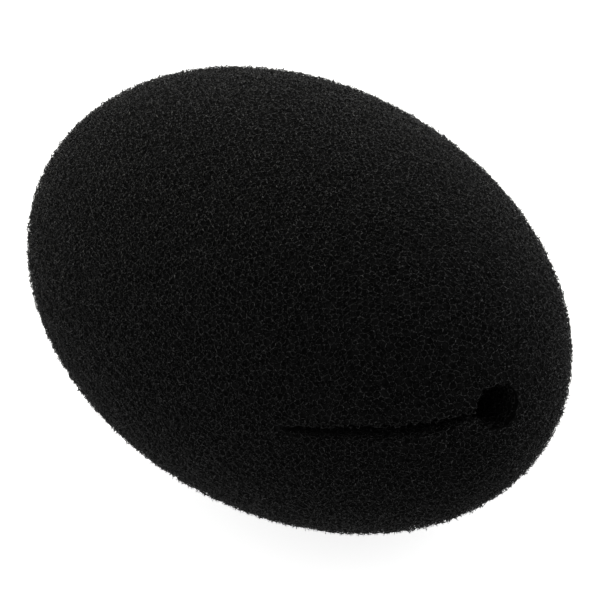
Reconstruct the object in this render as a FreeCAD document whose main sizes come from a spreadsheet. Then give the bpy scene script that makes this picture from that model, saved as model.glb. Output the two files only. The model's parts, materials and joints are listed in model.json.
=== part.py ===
"""Foam windscreen for a measuring microphone: one ellipsoid of open-cell foam, bored for the stem and slit.

The foam is one piece. It is divided here only where it flexes: a closed end that keeps its shape, and
the two lips beside the slit, which hinge open along the uncut side of the neck.
+X points out of the mouth along the long axis, the slit faces -Y, and +Z is up.
The origin is the centre of the mouth. Lengths are in millimetres and angles in degrees.
"""

import FreeCAD
import Part
import Sketcher
import math
import os
import sys

SIZES = {
    "length": 185.0,  # pole to pole of the whole ellipsoid, before the bore takes its tip off
    "diameter": 100.0,
    "bore_diameter": 10.0,  # for the microphone's stem
    "neck_length": 31.5,  # from the mouth to the chamber, and as far as the slit reaches
    "chamber_diameter": 26.0,
    "chamber_length": 100.0,
    "parting": 0.3,  # clearance between the closed end and the lips, and between the lips
    "slit_length": 32.5,  # from its blind end to just past the mouth
    "slit_gape": 2.9,  # the slit's widest opening at rest, at its middle
    "slit_end_gape": 1.6,  # its opening at either end
    "relief_angle": 13.0,  # a little more than the angle that each lip opens by
    "relief_depth": 12.0,  # more than the foam outside the hinge line is thick
}
CENTRE_BACK = "Sizes.length / 2 * sqrt(1 - (Sizes.bore_diameter / Sizes.diameter) ^ 2)"
RISE = "((Sizes.slit_gape - Sizes.slit_end_gape) / 2)"

doc = FreeCAD.newDocument("windscreen")
sheet = doc.addObject("Spreadsheet::Sheet", "Sizes")
for row, (alias, value) in enumerate(SIZES.items(), start=1):
    sheet.set(f"A{row}", alias)
    sheet.set(f"B{row}", str(value))
    sheet.setAlias(f"B{row}", alias)
doc.recompute()

half_length = sheet.length / 2
radius = sheet.diameter / 2
bore_radius = sheet.bore_diameter / 2
# The ellipsoid's centre lies this far behind the mouth, where the ellipsoid has narrowed to the bore.
centre_back = half_length * math.sqrt(1 - (bore_radius / radius) ** 2)


def radius_at(x):
    """The ellipsoid's radius at a place on the long axis, counted from the mouth."""
    return radius * math.sqrt(1 - ((x + centre_back) / half_length) ** 2)


def origin_feature(body, role):
    """One of a body's own origin planes or axes, found by its role."""
    return next(item for item in body.Origin.OriginFeatures if item.Role == role)


def new_sketch(body, name, role):
    """An empty sketch on one of the body's own origin planes."""
    sketch = body.newObject("Sketcher::SketchObject", name)
    sketch.AttachmentSupport = [(origin_feature(body, role), "")]
    sketch.MapMode = "FlatFace"
    return sketch


def constrain(sketch, kind, *where):
    """Adds a geometric constraint, such as Coincident, Horizontal or Vertical."""
    sketch.addConstraint(Sketcher.Constraint(kind, *where))


def measure(sketch, kind, *where, size):
    """Adds a dimension whose value is an expression of the sheet."""
    index = sketch.addConstraint(Sketcher.Constraint(kind, *where))
    sketch.setExpression(f"Constraints[{index}]", size)


def add_lines(sketch, points):
    """Adds straight edges through the points, each joined to the next, and returns them."""
    corners = [FreeCAD.Vector(x, y, 0) for x, y in points]
    lines = [sketch.addGeometry(Part.LineSegment(a, b), False) for a, b in zip(corners, corners[1:])]
    for before, after in zip(lines, lines[1:]):
        constrain(sketch, "Coincident", before, 2, after, 1)
    return lines


def add_meridian(sketch, front, back):
    """Adds the arc of the ellipsoid's outline from front to back, with the ellipse bound to the sheet."""
    turn = [math.acos(max(-1.0, (x + centre_back) / half_length)) for x in (front, back)]
    ellipse = Part.Ellipse(FreeCAD.Vector(-centre_back, 0, 0), half_length, radius)
    arc = sketch.addGeometry(Part.ArcOfEllipse(ellipse, *turn), False)
    sketch.exposeInternalGeometry(arc)
    long_axis, short_axis = arc + 1, arc + 2
    constrain(sketch, "PointOnObject", arc, 3, -1)
    constrain(sketch, "PointOnObject", long_axis, 1, -1)
    measure(sketch, "DistanceX", arc, 3, -1, 1, centre_back, size=CENTRE_BACK)
    measure(sketch, "Distance", long_axis, sheet.length, size="Sizes.length")
    measure(sketch, "Distance", short_axis, sheet.diameter, size="Sizes.diameter")
    return arc


def revolve(body, sketch, angle):
    """Turns a sketch about the body's own X axis."""
    turned = body.newObject("PartDesign::Revolution", f"{body.Name}_turned")
    turned.Profile = sketch
    turned.ReferenceAxis = (origin_feature(body, "X_Axis"), [""])
    turned.Angle = angle
    return turned


def pocket(body, sketch, name, midplane=False, reverse=False):
    """Cuts a sketch right through the body, one way or both ways, and checks that it took foam off."""
    doc.recompute()
    before = body.Shape.Volume
    cut = body.newObject("PartDesign::Pocket", name)
    cut.Profile = sketch
    cut.Type = "ThroughAll"
    cut.Midplane = midplane
    cut.Reversed = reverse
    doc.recompute()
    if body.Shape.Volume > before - 1:
        sys.exit(f"{name} cut nothing")


def make_closed_end():
    """The closed end: everything behind the slit, with the chamber that holds the microphone."""
    body = doc.addObject("PartDesign::Body", "closed_end")
    front = -(sheet.neck_length + sheet.parting)
    floor = -(sheet.neck_length + sheet.chamber_length)
    chamber = sheet.chamber_diameter / 2
    section = new_sketch(body, "closed_end_section", "XY_Plane")
    arc = add_meridian(section, front, -(centre_back + half_length))
    rim, wall, end, axis = add_lines(
        section,
        [
            (front, radius_at(front)),
            (front, chamber),
            (floor, chamber),
            (floor, 0),
            (-(centre_back + half_length), 0),
        ],
    )
    constrain(section, "Coincident", arc, 1, rim, 1)
    constrain(section, "Coincident", arc, 2, axis, 2)
    constrain(section, "Vertical", rim)
    constrain(section, "Horizontal", wall)
    constrain(section, "Vertical", end)
    constrain(section, "PointOnObject", end, 2, -1)
    constrain(section, "PointOnObject", axis, 2, -1)
    measure(section, "DistanceX", rim, 2, -1, 1, -front, size="Sizes.neck_length + Sizes.parting")
    measure(section, "DistanceX", end, 2, -1, 1, -floor, size="Sizes.neck_length + Sizes.chamber_length")
    measure(section, "DistanceY", -1, 1, rim, 2, chamber, size="Sizes.chamber_diameter / 2")
    revolve(body, section, 360)
    return body


def make_upper_lip():
    """The lip above the slit: half of the neck, open at the slit and eased along the hinge line."""
    body = doc.addObject("PartDesign::Body", "upper_lip")
    back = -sheet.neck_length
    section = new_sketch(body, "lip_section", "XY_Plane")
    arc = add_meridian(section, 0, back)
    face, bore = add_lines(section, [(back, radius_at(back)), (back, bore_radius), (0, bore_radius)])
    constrain(section, "Coincident", arc, 2, face, 1)
    constrain(section, "Coincident", arc, 1, bore, 2)
    constrain(section, "Vertical", face)
    constrain(section, "Horizontal", bore)
    measure(section, "DistanceX", face, 2, -1, 1, -back, size="Sizes.neck_length")
    measure(section, "DistanceY", -1, 1, face, 2, bore_radius, size="Sizes.bore_diameter / 2")
    revolve(body, section, 180)

    # Half of the clearance between the lips: a slab on the plane where they meet.
    slab = new_sketch(body, "lip_parting", "XZ_Plane")
    half_gap = sheet.parting / 2
    west, east = 2 * back, -back
    base, right, top, left = add_lines(
        slab,
        [(west, -half_gap), (east, -half_gap), (east, half_gap), (west, half_gap), (west, -half_gap)],
    )
    constrain(slab, "Coincident", left, 2, base, 1)
    for line, way in ((base, "Horizontal"), (top, "Horizontal"), (left, "Vertical"), (right, "Vertical")):
        constrain(slab, way, line)
    measure(slab, "DistanceX", base, 1, -1, 1, -west, size="2 * Sizes.neck_length")
    measure(slab, "DistanceX", -1, 1, base, 2, east, size="Sizes.neck_length")
    measure(slab, "DistanceY", -1, 1, right, 2, half_gap, size="Sizes.parting / 2")
    measure(slab, "DistanceY", right, 1, -1, 1, half_gap, size="Sizes.parting / 2")
    pocket(body, slab, "lip_parting_cut", midplane=True)

    # The slit's upper half: a shallow arc over a straight line, blunt at both ends.
    outline = new_sketch(body, "slit_outline", "XZ_Plane")
    front, end_height = back + sheet.slit_length, sheet.slit_end_gape / 2
    rise = (sheet.slit_gape - sheet.slit_end_gape) / 2
    bend = (sheet.slit_length**2 / 4 + rise**2) / (2 * rise)
    arc = outline.addGeometry(
        Part.Arc(
            FreeCAD.Vector(front, end_height, 0),
            FreeCAD.Vector((back + front) / 2, end_height + rise, 0),
            FreeCAD.Vector(back, end_height, 0),
        ),
        False,
    )
    blind, chord, open_end = add_lines(
        outline, [(back, end_height), (back, 0), (front, 0), (front, end_height)]
    )
    constrain(outline, "Coincident", arc, 2, blind, 1)
    constrain(outline, "Coincident", arc, 1, open_end, 2)
    constrain(outline, "Vertical", blind)
    constrain(outline, "Vertical", open_end)
    constrain(outline, "PointOnObject", chord, 1, -1)
    constrain(outline, "PointOnObject", chord, 2, -1)
    constrain(outline, "Equal", blind, open_end)
    measure(outline, "DistanceX", chord, 1, -1, 1, -back, size="Sizes.neck_length")
    measure(outline, "Distance", chord, sheet.slit_length, size="Sizes.slit_length")
    measure(outline, "Distance", blind, end_height, size="Sizes.slit_end_gape / 2")
    measure(outline, "Radius", arc, bend, size=f"(Sizes.slit_length ^ 2 / 4 + {RISE} ^ 2) / (2 * {RISE})")
    pocket(body, outline, "slit_cut", reverse=True)

    # Foam outside the hinge line is squeezed as the lip opens, so a thin wedge of it is taken off.
    hinge_back = FreeCAD.Vector(back, radius_at(back), 0)
    hinge_front = FreeCAD.Vector(0, bore_radius, 0)
    along = (hinge_front - hinge_back).normalize()
    up = FreeCAD.Vector(0, 0, 1)
    relief = new_sketch(body, "hinge_relief", "XY_Plane")
    relief.AttachmentOffset = FreeCAD.Placement(
        (hinge_back + hinge_front) / 2, FreeCAD.Rotation(up.cross(along), up, along, "ZXY")
    )
    depth = sheet.relief_depth
    rise = depth * math.tan(math.radians(sheet.relief_angle))
    floor, side, slope = add_lines(relief, [(0, 0), (depth, 0), (depth, rise), (0, 0)])
    constrain(relief, "Coincident", slope, 2, floor, 1)
    constrain(relief, "Coincident", floor, 1, -1, 1)
    constrain(relief, "Horizontal", floor)
    constrain(relief, "Vertical", side)
    measure(relief, "DistanceX", -1, 1, side, 1, depth, size="Sizes.relief_depth")
    measure(relief, "DistanceY", -1, 1, side, 2, rise, size="Sizes.relief_depth * tan(Sizes.relief_angle)")
    pocket(body, relief, "hinge_relief_cut", midplane=True)
    return body


def make_lower_lip(upper_lip):
    """The lip below the slit, which mirrors the upper one."""
    lip = doc.addObject("Part::Mirroring", "lower_lip")
    lip.Source = upper_lip
    lip.Normal = FreeCAD.Vector(0, 0, 1)
    return lip


closed_end = make_closed_end()
upper_lip = make_upper_lip()
lower_lip = make_lower_lip(upper_lip)
pieces = {"closed_end": closed_end, "upper_lip": upper_lip, "lower_lip": lower_lip}
doc.recompute()

failed = [item.Name for item in doc.Objects if "Invalid" in item.State or "Error" in item.State]
if failed:
    sys.exit(f"failed objects: {failed}")

os.makedirs("parts", exist_ok=True)
for node, piece in pieces.items():
    piece.Label = node
    if piece.Shape.isNull() or not piece.Shape.isValid() or len(piece.Shape.Solids) != 1:
        sys.exit(f"{node} isn't one valid solid")
for node, piece in pieces.items():
    piece.Shape.exportStep(f"parts/{node}.step")
    print(node, f"{piece.Shape.Volume / 1000:.1f} cm3")
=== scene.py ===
"""Looks of the ellipsoidal foam windscreen: its open network of strands, its dark inside, and a studio."""

import json
import math

import bpy
import numpy as np
from mathutils import Matrix, Vector
from mathutils.geometry import delaunay_2d_cdt


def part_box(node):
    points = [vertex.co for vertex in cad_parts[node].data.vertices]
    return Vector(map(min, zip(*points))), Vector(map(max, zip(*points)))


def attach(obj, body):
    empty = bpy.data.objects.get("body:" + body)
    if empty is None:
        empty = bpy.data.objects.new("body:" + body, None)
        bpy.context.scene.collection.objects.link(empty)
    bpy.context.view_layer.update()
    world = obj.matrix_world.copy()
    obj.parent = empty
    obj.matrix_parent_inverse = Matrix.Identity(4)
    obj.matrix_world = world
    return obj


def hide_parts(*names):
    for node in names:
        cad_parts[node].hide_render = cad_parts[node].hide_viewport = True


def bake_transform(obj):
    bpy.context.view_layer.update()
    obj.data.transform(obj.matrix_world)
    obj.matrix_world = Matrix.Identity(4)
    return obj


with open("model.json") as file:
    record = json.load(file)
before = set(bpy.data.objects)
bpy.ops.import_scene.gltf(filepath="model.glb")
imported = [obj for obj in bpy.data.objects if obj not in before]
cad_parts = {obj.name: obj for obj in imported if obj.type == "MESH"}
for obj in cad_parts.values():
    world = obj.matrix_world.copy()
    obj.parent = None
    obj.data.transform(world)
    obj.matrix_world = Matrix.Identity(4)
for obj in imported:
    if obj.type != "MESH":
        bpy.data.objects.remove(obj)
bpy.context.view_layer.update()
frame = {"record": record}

# ---------------------------------------------------------------------------------------------------
# The foam blank. Reticulated polyurethane foam is cast as a block and ground to an ellipsoid, then bored
# for the microphone's stem and slit down one side. Everything else is placed on this shape.

stem = next(m for m in frame["record"]["mounts"] if m["name"] == "stem")
bore = stem["dims"]["r_mm"] / 1000
neck = stem["dims"]["length_mm"] / 1000
low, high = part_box("closed_end")
radius = round(high.z, 3)
mouth_share = math.sqrt(1 - (bore / radius) ** 2)
half_length = round(-low.x / (1 + mouth_share), 4)
centre_x = -half_length * mouth_share


def on_foam(turn, around, depth):
    """Points under the ellipsoid's skin.

    turn runs along the outline from 0 at the mouth's pole to pi at the closed pole, where the outline is
    (half_length cos turn, radius sin turn). around goes about the long axis, from +Y towards +Z. Each point
    then goes in by depth against the outline's normal, (cos turn / half_length, sin turn / radius).
    """
    slope = np.hypot(np.cos(turn) / half_length, np.sin(turn) / radius)
    x = centre_x + half_length * np.cos(turn) - depth * np.cos(turn) / half_length / slope
    r = radius * np.sin(turn) - depth * np.sin(turn) / radius / slope
    return np.stack(np.broadcast_arrays(x, r * np.cos(around), r * np.sin(around)), -1)


def slit_half_gape(x):
    """Half of the slit's opening at a place along the axis.

    With u from 0 at the slit's blind end to 1 at the mouth, it is half_gape u^0.12 (1 - u)^0.35 (1 + 0.9 u):
    blunt at the blind end, widest past the middle, and pinched just before the mouth. There it flares again,
    by flare_height e^(x / flare_length).
    """
    half_gape, flare_height, flare_length = 0.00152, 0.0014, 0.0009
    u = np.clip(1 + x / neck, 0.0, 1.0)
    flare = flare_height * np.exp(x / flare_length)
    return np.maximum(half_gape * u**0.12 * (1 - u) ** 0.35 * (1 + 0.9 * u), flare)


def slit_middle(x):
    """How far the slit's middle has sagged below the axis: sag (1 - e^(x / reach)), none at the mouth."""
    sag, reach = 0.0007, 0.004
    return -sag * (1 - np.exp(np.minimum(x, 0) / reach))


# ---------------------------------------------------------------------------------------------------
# The strands. Burning the cell walls away leaves only the edges of the foam's cells, a network of thin
# black strands about 1.5 mm from cell to cell. Grinding cuts the outermost cells open and leaves stubs.

CELL = 0.00154  # from a cell's centre to the next one's
SKIN_NUDGE = 0.20 * CELL  # how far a cell's centre is from its place in the regular pattern
WALL_NUDGE = 0.24 * CELL  # and on the cut walls
STRAND = 0.00017  # across a strand where it meets its neighbours
STRAND_SPREAD = 0.22  # how unlike each other the strands are in thickness
CUT = (-0.0004, 0.0004)  # how deep the corners of the cut cells lie, from the proudest to the lowest
INNER_DEPTH = 0.00042  # how deep the next cells in lie
INNER_SPREAD = 0.00015  # and how unevenly
OUTER_KEPT = 0.96  # the share of the outer cells' edges that the grinding leaves
INNER_KEPT = 0.8  # and the share of the next cells' edges that are drawn
FOOT_SWAY = 0.28 * CELL  # how far a leg leans to the side on its way in
TIP_SWAY = 0.16 * CELL  # and a stub on its way out
STUB_SHARE = 0.4  # the share of the corners with a stub
STUB_LENGTH = (0.0002, 0.0006)
seeds = np.random.default_rng(20)


def cell_edges(flat_points):
    """Edges of the cells around points on a plane.

    The points are joined into triangles by Delaunay's rule. A cell's corners are the middles of the triangles
    round its point, so each pair of triangles with a common side gives one edge between their middles.
    Returns the triangles, as three point numbers each, and the edges, as two triangle numbers each.
    """
    corners = [Vector(p) for p in flat_points.tolist()]
    made = delaunay_2d_cdt(corners, [], [], 0, 1e-9)
    source = np.array([given[0] for given in made[3]])
    triangles = source[np.array(made[2])]
    sides = np.sort(np.concatenate([triangles[:, pair] for pair in ([0, 1], [1, 2], [2, 0])]), axis=1)
    owner = np.tile(np.arange(len(triangles)), 3)
    key = sides[:, 0] * len(corners) + sides[:, 1]
    order = np.argsort(key, kind="stable")
    same = np.flatnonzero(key[order][1:] == key[order][:-1])
    return triangles, np.stack([owner[order[same]], owner[order[same + 1]]], 1)


def skin_network():
    """Cells over the whole ellipsoid: the places of their corners, as turn and around, and the edges.

    Cell centres wind round the axis by the golden angle, each with an equal share of the area, and are then
    nudged at random. To be joined they are laid out flat, at angle around and distance exp(q), where q is the
    length along the outline divided by the radius there, added up from the closed pole, which keeps angles.
    """
    turn = np.linspace(0.001, math.pi - 0.001, 40001)
    along = np.hypot(half_length * np.sin(turn), radius * np.cos(turn)) * (turn[1] - turn[0])
    area = np.cumsum(2 * math.pi * radius * np.sin(turn) * along)
    chart = np.cumsum((along / (radius * np.sin(turn)))[::-1])[::-1]
    count = int(area[-1] / (0.866 * CELL**2))
    number = np.arange(count)
    at = np.interp((number + 0.5) / count * area[-1], area, turn)
    nudge = seeds.normal(0, SKIN_NUDGE, (2, count))
    at = at + nudge[0] / np.hypot(half_length * np.sin(at), radius * np.cos(at))
    at = np.clip(at, turn[0], turn[-1])
    around = number * math.pi * (3 - math.sqrt(5)) + nudge[1] / (radius * np.sin(at))
    spread = np.exp(np.interp(at, turn, chart) - chart[0] / 2)
    triangles, edges = cell_edges(np.stack([spread * np.cos(around), spread * np.sin(around)], 1))
    middle = on_foam(at, around, 0.0)[triangles].mean(1)
    x, y, z = middle.T
    turn_at = np.arctan2(np.hypot(y, z) / radius, (x - centre_x) / half_length)
    return turn_at, np.arctan2(z, y), edges


def wall_network(width, height):
    """Cells over a flat rectangle: the places of their corners, and the edges.

    Cell centres stand in a triangular pattern with CELL between neighbours, nudged at random.
    """
    row, place = np.mgrid[0 : int(height / CELL / 0.866) + 3, 0 : int(width / CELL) + 3].reshape(2, -1)
    flat = np.stack([(place + row % 2 / 2 - 1) * CELL, (row - 1) * 0.866 * CELL], 1)
    flat = flat + seeds.normal(0, WALL_NUDGE, flat.shape)
    triangles, edges = cell_edges(flat)
    middle = flat[triangles].mean(1)
    return middle[:, 0], middle[:, 1], edges


def in_opening(points):
    """Which points lie in the bore, or in the slit, which is on the -Y side of the neck."""
    x, y, z = points[..., 0], points[..., 1], points[..., 2]
    in_neck = x > -neck
    in_slit = (y < 0) & (np.abs(z - slit_middle(x)) < slit_half_gape(x))
    return in_neck & ((np.hypot(y, z) < bore) | in_slit)


def clear_of_openings(ends):
    """Drops strands that end in, or cross, the bore or the slit."""
    places = ends[:, :1] + (ends[:, 1:] - ends[:, :1]) * np.array([0, 0.25, 0.5, 0.75, 1])[None, :, None]
    over = ends[..., 2] - slit_middle(ends[..., 0])
    over_slit = (over[:, 0] * over[:, 1] < 0) & (ends[..., 1].max(1) < 0) & (ends[..., 0].max(1) > -neck)
    return ends[~in_opening(places).any(1) & ~over_slit]


def lumps(points):
    """The ground skin's unevenness: plane waves in random directions, added up to a typical height."""
    count, height, shortest, longest = 40, 0.00014, 0.0025, 0.0040
    facing = seeds.normal(0, 1, (3, count))
    facing /= np.linalg.norm(facing, axis=0)
    waves = facing * 2 * math.pi / seeds.uniform(shortest, longest, count)
    phase = seeds.uniform(0, 2 * math.pi, count)
    return height * math.sqrt(2 / count) * np.cos(points @ waves + phase).sum(-1)


def leant(turn, around, lean, depth):
    """Points at a depth under the skin, moved sideways by lean, which has two angles for each point.

    The first goes along the outline, where the foam curves less and so takes along_share of it. The second
    goes around the axis, where it grows towards the poles up to ten times.
    """
    along_share, least_sine = 0.6, 0.1
    around = around + lean[1] / np.maximum(np.sin(turn), least_sine)
    return on_foam(turn + along_share * lean[0], around, depth)


# The outer cells' edges, with corners uneven in depth and some edges ground away, and legs that run in.
turn_at, around_at, edges = skin_network()
edges = edges[seeds.random(len(edges)) < OUTER_KEPT]
depth = seeds.uniform(*CUT, len(turn_at)) + lumps(on_foam(turn_at, around_at, 0.0))
corners = on_foam(turn_at, around_at, depth)
lean = seeds.normal(0, FOOT_SWAY / radius, (2, len(turn_at)))
legs = np.stack([corners, leant(turn_at, around_at, lean, INNER_DEPTH)], 1)

# Cells that the grinding cut open leave the stub of a leg standing out from some of the corners.
stub = seeds.random(len(turn_at)) < STUB_SHARE
lean = seeds.normal(0, TIP_SWAY / radius, (2, stub.sum()))
tip_depth = np.minimum(depth[stub], 0) - seeds.uniform(*STUB_LENGTH, stub.sum())
stubs = np.stack([corners[stub], leant(turn_at[stub], around_at[stub], lean, tip_depth)], 1)

# The next cells in, seen through the outer ones.
turn_in, around_in, edges_in = skin_network()
edges_in = edges_in[seeds.random(len(edges_in)) < INNER_KEPT]
inner = on_foam(turn_in, around_in, seeds.normal(INNER_DEPTH, INNER_SPREAD, len(turn_in)))
deeper = clear_of_openings(inner[edges_in])
strands = clear_of_openings(np.concatenate([corners[edges], legs, stubs]))

# The cut walls of the slit, one on each lip, from the skin in to the bore.
SKIN_MARGIN = 0.0002  # how far inside the skin the walls' strands end
walls = []
for side in (1, -1):
    along, across, edges = wall_network(neck, radius)
    x = along - neck
    depth = seeds.uniform(*CUT, len(x))
    wall = np.stack([x, -across, slit_middle(x) + side * (slit_half_gape(x) + depth)], 1)
    inside = (x > -neck) & (across > bore)
    skin_r = radius * np.sqrt(np.clip(1 - ((x - centre_x) / half_length) ** 2, 0, 1))
    inside &= across < skin_r - SKIN_MARGIN
    foot = wall + np.stack([*seeds.normal(0, FOOT_SWAY, (2, len(x))), np.full(len(x), side * INNER_DEPTH)], 1)
    walls += [wall[edges][inside[edges].all(1)], np.stack([wall, foot], 1)[inside]]

# The bore's cut wall, which ends inside the mouth's rounded rim.
MOUTH_MARGIN = 0.0012
BORE_SWAY = 0.15  # in radians
along, across, edges = wall_network(neck, 2 * math.pi * bore)
deep = bore + seeds.uniform(*CUT, len(along))
angle = across / bore - math.pi
wall = np.stack([along - neck, deep * np.cos(angle), deep * np.sin(angle)], 1)
foot_angle = angle + seeds.normal(0, BORE_SWAY, len(angle))
foot_r = bore + INNER_DEPTH
foot = np.stack([along - neck, foot_r * np.cos(foot_angle), foot_r * np.sin(foot_angle)], 1)
inside = (along > 0) & (along < neck - MOUTH_MARGIN) & (np.abs(angle) < math.pi)
inside &= (wall[:, 1] > 0) | (np.abs(wall[:, 2] - slit_middle(wall[:, 0])) > slit_half_gape(wall[:, 0]))
walls += [wall[edges][inside[edges].all(1)], np.stack([wall, foot], 1)[inside]]
walls = np.concatenate(walls)


def sliver_mesh(name, ends, facing):
    """A mesh of strands, each drawn as a four-faced sliver.

    A strand from A to B has an edge across it at A, along u, and another at B, along v, where u is a random
    direction square to the strand and v is square to both. The four corners A + u, A - u, B + v and B - v
    make a closed sliver that is a blade at its ends, where three strands meet, and square and thinner
    between. facing is the angle about the long axis that the piece faces, and its UV map is the view from
    there, with a small margin round it.
    """
    shift, widen = 0.998, 2.04
    count = len(ends)
    line = ends[:, 1] - ends[:, 0]
    line /= np.maximum(np.linalg.norm(line, axis=1), 1e-9)[:, None]
    across = np.cross(line, seeds.normal(0, 1, (count, 3)))
    across /= np.maximum(np.linalg.norm(across, axis=1), 1e-9)[:, None]
    half = STRAND / 2 * np.exp(seeds.normal(0, STRAND_SPREAD, count))[:, None]
    u = across * half
    v = np.cross(line, across) * half
    points = np.stack([ends[:, 0] + u, ends[:, 0] - u, ends[:, 1] + v, ends[:, 1] - v], 1).reshape(-1, 3)
    first = 4 * np.arange(count)[:, None, None]
    faces = (first + np.array([[0, 1, 2], [0, 3, 1], [0, 2, 3], [1, 3, 2]])).reshape(-1, 3)
    mesh = bpy.data.meshes.new(name)
    fill_mesh(mesh, points, faces)
    sideways = points[:, 2] * math.cos(facing) - points[:, 1] * math.sin(facing)
    flat = np.stack([points[:, 0] / (2 * half_length) + shift, sideways / (widen * radius) + 0.5], 1)
    layer = mesh.uv_layers.new(name="OFBake")
    layer.data.foreach_set("uv", flat[faces.ravel()].astype(np.float32).ravel())
    piece = bpy.data.objects.new(name, mesh)
    bpy.context.scene.collection.objects.link(piece)
    return piece


def fill_mesh(mesh, points, faces):
    """Puts points and faces, which all have the same number of corners, into an empty mesh, smooth-shaded."""
    sides = faces.shape[1]
    mesh.vertices.add(len(points))
    mesh.vertices.foreach_set("co", np.asarray(points, np.float32).ravel())
    mesh.loops.add(faces.size)
    mesh.loops.foreach_set("vertex_index", faces.astype(np.int32).ravel())
    mesh.polygons.add(len(faces))
    mesh.polygons.foreach_set("loop_start", np.arange(0, faces.size, sides, dtype=np.int32))
    mesh.polygons.foreach_set("use_smooth", np.ones(len(faces), bool))
    mesh.update(calc_edges=True)
    mesh.validate()


def to_linear(hex_colour):
    """An sRGB colour such as "#1c1c1c" as linear red, green, blue and alpha."""
    parts = [int(hex_colour[i : i + 2], 16) / 255 for i in (1, 3, 5)]
    return (*(p / 12.92 if p <= 0.04045 else ((p + 0.055) / 1.055) ** 2.4 for p in parts), 1.0)


def add_node(material, kind, links=(), values=(), **settings):
    """Adds a node to a material, sets its settings and input values, and links sockets to its inputs."""
    node = material.node_tree.nodes.new(kind)
    for setting, value in settings.items():
        setattr(node, setting, value)
    for socket, value in dict(values).items():
        node.inputs[socket].default_value = value
    for socket, origin in dict(links).items():
        material.node_tree.links.new(origin, node.inputs[socket])
    return node


def new_material(name):
    """An empty node material and its output node."""
    material = bpy.data.materials.new(name)
    material.use_nodes = True
    material.node_tree.nodes.clear()
    return material, material.node_tree.nodes.new("ShaderNodeOutputMaterial")


def strand_finish(name, shades, roughness, gloss):
    """Reticulated polyurethane, dyed black in the mass, with shades from the dullest strand to the brightest.

    The strands are smooth where heat burned the walls off them, so a few catch the light along their length
    and most don't; the brightest shade paints this in as a painted highlight, and the others are tone that
    differs at random. The shade changes from strand to strand, over about a third of a cell.
    """
    material, output = new_material(name)
    place = add_node(material, "ShaderNodeTexCoord").outputs["Object"]
    which = add_node(
        material, "ShaderNodeTexNoise", {"Vector": place}, {"Scale": 1 / (0.33 * CELL), "Detail": 0.0}
    )
    shade = add_node(material, "ShaderNodeValToRGB", {"Fac": which.outputs["Fac"]})
    ramp = shade.color_ramp
    ramp.elements[0].position = 0.36
    ramp.elements[0].color = to_linear(shades[0])
    # The brightest shade is a painted highlight, for the few strands that catch the light.
    ramp.elements[1].position = 0.72
    ramp.elements[1].color = to_linear(shades[2])
    ramp.elements.new(0.55).color = to_linear(shades[1])
    surface = add_node(
        material,
        "ShaderNodeBsdfPrincipled",
        {"Base Color": shade.outputs["Color"]},
        {"Roughness": roughness, "Specular IOR Level": gloss},
    )
    material.node_tree.links.new(surface.outputs["BSDF"], output.inputs["Surface"])
    return material


# Three copies of one foam, whose colours differ by painted light and shade. Strands at the ground skin catch
# the light most, and their copy is painted brightest; those of the next cells in lie in their shade, and
# their copy is painted darker as painted shade; those of the walls that the knife cut are painted between the
# two.
lit_skin_foam = strand_finish("reticulated_polyurethane_ground_skin_lit", ("#0e0e0e", "#1b1b1b", "#525252"), 0.265, 0.62)
painted_shade_foam = strand_finish("reticulated_polyurethane_painted_shade", ("#0b0b0b", "#181818", "#323232"), 0.5, 0.25)
half_shaded_cut_foam = strand_finish("reticulated_polyurethane_cut_half_shaded", ("#101010", "#222222", "#4a4a4a"), 0.36, 0.6)


def strand_piece(name, facing, *groups):
    """A piece of strands: those of the skin, under it, and of the cut walls, each group with its copy of the
    foam, painted lit, shaded or between.
    """
    piece = sliver_mesh(name, np.concatenate(groups), facing)
    for finish in (lit_skin_foam, painted_shade_foam, half_shaded_cut_foam):
        piece.data.materials.append(finish)
    which = np.repeat(np.arange(len(groups), dtype=np.int32), [4 * len(group) for group in groups])
    piece.data.polygons.foreach_set("material_index", which)
    return piece


def on_neck(ends):
    """Which strands belong to the lips."""
    return ends[..., 0].mean(1) > -neck


GORES = 6
for gore in range(GORES):
    groups = []
    for ends in (strands[~on_neck(strands)], deeper[~on_neck(deeper)]):
        angles = np.arctan2(ends[..., 2].mean(1), ends[..., 1].mean(1)) % (2 * math.pi)
        groups.append(ends[(angles * GORES / (2 * math.pi)).astype(int) == gore])
    piece = strand_piece(f"closed_end_strands_{gore + 1}", (gore + 0.5) * 2 * math.pi / GORES, *groups)
    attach(piece, "closed_end")

for lip, side in (("upper_lip", 1), ("lower_lip", -1)):
    groups = []
    for ends in (strands[on_neck(strands)], deeper[on_neck(deeper)], walls):
        groups.append(ends[ends[..., 2].mean(1) * side > 0])
    piece = strand_piece(f"{lip}_strands", side * math.pi / 2, *groups)
    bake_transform(piece)

# ---------------------------------------------------------------------------------------------------
# The dark inside. Past the first cells the foam lets almost no light back out, so the mass of deeper cells
# is one black body in three parts: the closed end with the microphone's chamber, and the two lips. Its
# near-black colour is painted shade, with the pores painted darker still.

CORE_DEPTH = 0.0006  # how far under the skin, and behind the cut walls, the dark inside begins
ROUND_STEPS = 120
CHAMBER_RADIUS = 0.013
CHAMBER_LENGTH = 0.1
front_turn = math.acos(min(1.0, (-neck - centre_x) / half_length))

painted_shade_inside, output = new_material("reticulated_polyurethane_depths_painted_shade")
place = add_node(painted_shade_inside, "ShaderNodeTexCoord").outputs["Object"]
pores = add_node(
    painted_shade_inside,
    "ShaderNodeTexVoronoi",
    {"Vector": place},
    {"Scale": 1 / CELL, "Randomness": 1.0},
    feature="F1",
)
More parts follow.
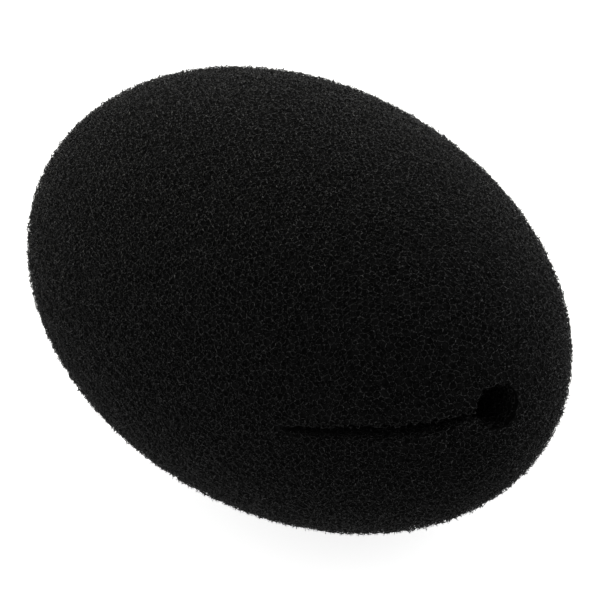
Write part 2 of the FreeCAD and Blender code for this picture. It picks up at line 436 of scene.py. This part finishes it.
# Painted shade in the pores: darker at the cells' middles and lighter towards their edges.
shade = add_node(painted_shade_inside, "ShaderNodeValToRGB", {"Fac": pores.outputs["Distance"]})
shade.color_ramp.elements[0].position = 0.25
shade.color_ramp.elements[0].color = to_linear("#0a0a0a")
shade.color_ramp.elements[1].position = 0.75
shade.color_ramp.elements[1].color = to_linear("#181818")
surface = add_node(
    painted_shade_inside,
    "ShaderNodeBsdfPrincipled",
    {"Base Color": shade.outputs["Color"]},
    {"Roughness": 0.9, "Specular IOR Level": 0.05},
)
painted_shade_inside.node_tree.links.new(surface.outputs["BSDF"], output.inputs["Surface"])


def revolved(name, profile):
    """A closed body from an outline of (x, r) points whose first and last are on the axis.

    Each point between them becomes a ring of ROUND_STEPS points, and each end becomes one point with a fan.
    The outline runs so that the body is on its right as it goes, which turns the faces outwards.
    """
    x, r = profile[1:-1].T
    angle = np.arange(ROUND_STEPS) * 2 * math.pi / ROUND_STEPS
    rings = np.stack(
        np.broadcast_arrays(x[:, None], r[:, None] * np.cos(angle), r[:, None] * np.sin(angle)), -1
    ).reshape(-1, 3)
    points = np.concatenate([rings, [[profile[0, 0], 0, 0], [profile[-1, 0], 0, 0]]])
    step = np.arange(ROUND_STEPS)
    after = (step + 1) % ROUND_STEPS
    start = (np.arange(len(x) - 1) * ROUND_STEPS)[:, None]
    here = start + step
    beside = start + after
    quads = np.stack([here, beside, beside + ROUND_STEPS, here + ROUND_STEPS], -1).reshape(-1, 4)
    last = (len(x) - 1) * ROUND_STEPS
    triangles = np.concatenate([
        quads[:, [0, 1, 2]],
        quads[:, [0, 2, 3]],
        np.stack([after, step, np.full(ROUND_STEPS, len(rings))], 1),
        np.stack([last + step, last + after, np.full(ROUND_STEPS, len(rings) + 1)], 1),
    ])
    mesh = bpy.data.meshes.new(name)
    fill_mesh(mesh, points, triangles)
    piece = bpy.data.objects.new(name, mesh)
    bpy.context.scene.collection.objects.link(piece)
    return piece


turns = np.linspace(math.pi, front_turn, 121)[1:]
skin = on_foam(turns, 0.0, CORE_DEPTH)[:, :2]
chamber_back = -neck - CHAMBER_LENGTH
profile = np.concatenate([
    [[low.x + CORE_DEPTH, 0.0]],
    skin,
    [[-neck, CHAMBER_RADIUS + (skin[-1, 1] - CHAMBER_RADIUS) * share] for share in (0.75, 0.5, 0.25, 0.0)],
    [[-neck - CHAMBER_LENGTH * share, CHAMBER_RADIUS] for share in np.linspace(0.05, 1, 20)],
    [[chamber_back, CHAMBER_RADIUS * share] for share in (0.8, 0.6, 0.4, 0.2)],
    [[chamber_back, 0.0]],
])
core = revolved("closed_end_depths", profile)
core.data.materials.append(painted_shade_inside)
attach(core, "closed_end")
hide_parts("closed_end")


def lip_body(name, side):
    """The mass of one lip, side 1 above the slit and -1 below it.

    Across the axis it is a half ring between the bore's wall and the skin. It begins past the slit's wall on
    the -Y side and ends a little over the middle on the +Y side, where the two lips are one. These half rings
    follow each other along the axis from the closed end to the mouth, where skin and bore meet.
    """
    stations, arc = 40, 61
    rim_width, overlap, steepest = 0.0007, 0.0007, 0.9
    rim = np.arcsin((bore + rim_width) / radius)
    turn = front_turn + (rim - front_turn) * np.sin(np.linspace(0, math.pi / 2, stations))
    x, outer, _ = on_foam(turn, 0.0, CORE_DEPTH).T
    x[0] = -neck
    inner_r = np.minimum(np.full(stations, bore + CORE_DEPTH), outer)
    gap = slit_half_gape(x) + CORE_DEPTH + side * slit_middle(x)
    share = np.linspace(0, 1, arc)[None, :]
    surfaces = []
    for r in (outer, inner_r):
        start = -np.arcsin(np.minimum(overlap / r, steepest))
        end = math.pi - np.arcsin(np.minimum(gap / r, steepest))
        angle = start[:, None] + (end - start)[:, None] * share
        surfaces.append(np.stack([np.broadcast_to(x[:, None], angle.shape), r[:, None] * np.cos(angle),
                                  side * r[:, None] * np.sin(angle)], -1))
    points = np.stack(surfaces, 2)
    index = np.arange(stations * arc * 2).reshape(stations, arc, 2)

    def strip(a, b, c, d):
        return np.stack([a, b, c, d], -1).reshape(-1, 4)

    out = index[:, :, 0]
    inn = index[:, :, 1]
    quads = np.concatenate([
        strip(out[:-1, :-1], out[:-1, 1:], out[1:, 1:], out[1:, :-1]),
        strip(inn[:-1, :-1], inn[1:, :-1], inn[1:, 1:], inn[:-1, 1:]),
        strip(out[:-1, -1], inn[:-1, -1], inn[1:, -1], out[1:, -1]),
        strip(out[:-1, 0], out[1:, 0], inn[1:, 0], inn[:-1, 0]),
        strip(out[0, :-1], inn[0, :-1], inn[0, 1:], out[0, 1:]),
        strip(out[-1, :-1], out[-1, 1:], inn[-1, 1:], inn[-1, :-1]),
    ])
    triangles = np.concatenate([quads[:, [0, 1, 2]], quads[:, [0, 2, 3]]])
    if side < 0:
        triangles = triangles[:, ::-1]
    mesh = bpy.data.meshes.new(name)
    fill_mesh(mesh, points.reshape(-1, 3), triangles)
    piece = bpy.data.objects.new(name, mesh)
    bpy.context.scene.collection.objects.link(piece)
    return piece


for lip, side in (("upper_lip", 1), ("lower_lip", -1)):
    piece = lip_body(f"{lip}_depths", side)
    piece.data.materials.append(painted_shade_inside)
    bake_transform(piece)
    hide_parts(lip)

# ---------------------------------------------------------------------------------------------------
# The studio: a wide sheet of white paper under the windscreen, soft light from all round, and a long lens
# that looks down on the slit and the mouth.

white_paper, output = new_material("white_paper")
fibres = add_node(
    white_paper,
    "ShaderNodeTexNoise",
    {"Vector": add_node(white_paper, "ShaderNodeTexCoord").outputs["Object"]},
    {"Scale": 60.0, "Detail": 4.0},
)
tone = add_node(white_paper, "ShaderNodeValToRGB", {"Fac": fibres.outputs["Fac"]})
tone.color_ramp.elements[0].color = to_linear("#f6f6f5")
tone.color_ramp.elements[1].color = to_linear("#fbfbfa")
paper = add_node(
    white_paper,
    "ShaderNodeBsdfPrincipled",
    {"Base Color": tone.outputs["Color"]},
    {
        "Roughness": 0.9,
        "Specular IOR Level": 0.1,
        "Emission Color": to_linear("#ffffff"),
        "Emission Strength": 0.85,
    },
)
dim_paper = add_node(white_paper, "ShaderNodeEmission", values={"Strength": 0.37})
seen = add_node(white_paper, "ShaderNodeLightPath").outputs["Is Camera Ray"]
surface = add_node(
    white_paper, "ShaderNodeMixShader", {0: seen, 1: dim_paper.outputs[0], 2: paper.outputs[0]}
)
white_paper.node_tree.links.new(surface.outputs[0], output.inputs["Surface"])
floor_mesh = bpy.data.meshes.new("paper_floor")
half_side = 12.0
height = -radius - 0.0004  # under the stubs that the foam stands on
fill_mesh(
    floor_mesh,
    np.array([[x * half_side, y * half_side, height] for x, y in ((-1, -1), (1, -1), (1, 1), (-1, 1))]),
    np.array([[0, 1, 2, 3]]),
)
floor = bpy.data.objects.new("paper_floor", floor_mesh)
bpy.context.scene.collection.objects.link(floor)
floor.data.materials.append(white_paper)

# The walls light the windscreen from all round. They are brightest towards its closed end, its side away from
# the slit, and the floor, and the camera sees them white.
studio = bpy.data.worlds.new("studio_walls")
studio.use_nodes = True
studio.node_tree.nodes.clear()
toward = add_node(
    studio,
    "ShaderNodeVectorMath",
    {0: add_node(studio, "ShaderNodeTexCoord").outputs["Generated"]},
    {1: (-0.83, 0.40, -0.40)},
    operation="DOT_PRODUCT",
)
glow = add_node(
    studio,
    "ShaderNodeMapRange",
    {"Value": toward.outputs["Value"]},
    {"From Min": -1.0, "From Max": 1.0, "To Min": 0.38, "To Max": 0.95},
)
lit_walls = add_node(
    studio, "ShaderNodeBackground", {"Strength": glow.outputs["Result"]}, {"Color": to_linear("#ffffff")}
)
white_walls = add_node(
    studio, "ShaderNodeBackground", values={"Color": to_linear("#ffffff"), "Strength": 1.0}
)
seen = add_node(studio, "ShaderNodeLightPath").outputs["Is Camera Ray"]
walls = add_node(studio, "ShaderNodeMixShader", {0: seen, 1: lit_walls.outputs[0], 2: white_walls.outputs[0]})
add_node(studio, "ShaderNodeOutputWorld", {"Surface": walls.outputs[0]})
bpy.context.scene.world = studio


def soft_box(name, place, size, power, colour):
    """A square lamp at a place, turned to the windscreen's middle."""
    lamp = bpy.data.lights.new(name, "AREA")
    lamp.size = size
    lamp.energy = power
    lamp.color = colour
    holder = bpy.data.objects.new(name, lamp)
    holder.location = place
    holder.rotation_euler = (Vector((centre_x, 0, 0)) - Vector(place)).to_track_quat("-Z", "Y").to_euler()
    bpy.context.scene.collection.objects.link(holder)


soft_box("back_box", (-1.1, 0.2, 1.05), 0.8, 3.35, (1.0, 0.96, 0.78))
soft_box("side_box", (0.3, 1.3, 0.6), 0.8, 4.3, (0.96, 0.98, 1.0))
soft_box("low_box", (0.2, 1.3, 0.0), 0.8, 1.6, (1.0, 1.0, 1.0))

AZIMUTH, ELEVATION, ROLL = (math.radians(a) for a in (64.25, 23.44, 11.15))
aim = Vector((-0.0883, -0.0001, 0.0002))
back = Vector((
    math.sin(AZIMUTH) * math.cos(ELEVATION), -math.cos(AZIMUTH) * math.cos(ELEVATION), math.sin(ELEVATION),
))
level_up = (Vector((0, 0, 1)) - back * back.z).normalized()
level_right = level_up.cross(back)
up = level_up * math.cos(ROLL) + level_right * math.sin(ROLL)
right = level_right * math.cos(ROLL) - level_up * math.sin(ROLL)
lens = bpy.data.cameras.new("long_lens")
lens.sensor_width = 36.0
lens.lens = 387.0
lens.clip_start = 0.05
lens.clip_end = 50.0
camera = bpy.data.objects.new("long_lens", lens)
turned = Matrix((right, up, back)).transposed().to_4x4()
turned.translation = aim + back * 1.5
camera.matrix_world = turned
bpy.context.scene.collection.objects.link(camera)
bpy.context.scene.camera = camera
bpy.context.scene.view_settings.view_transform = "Standard"
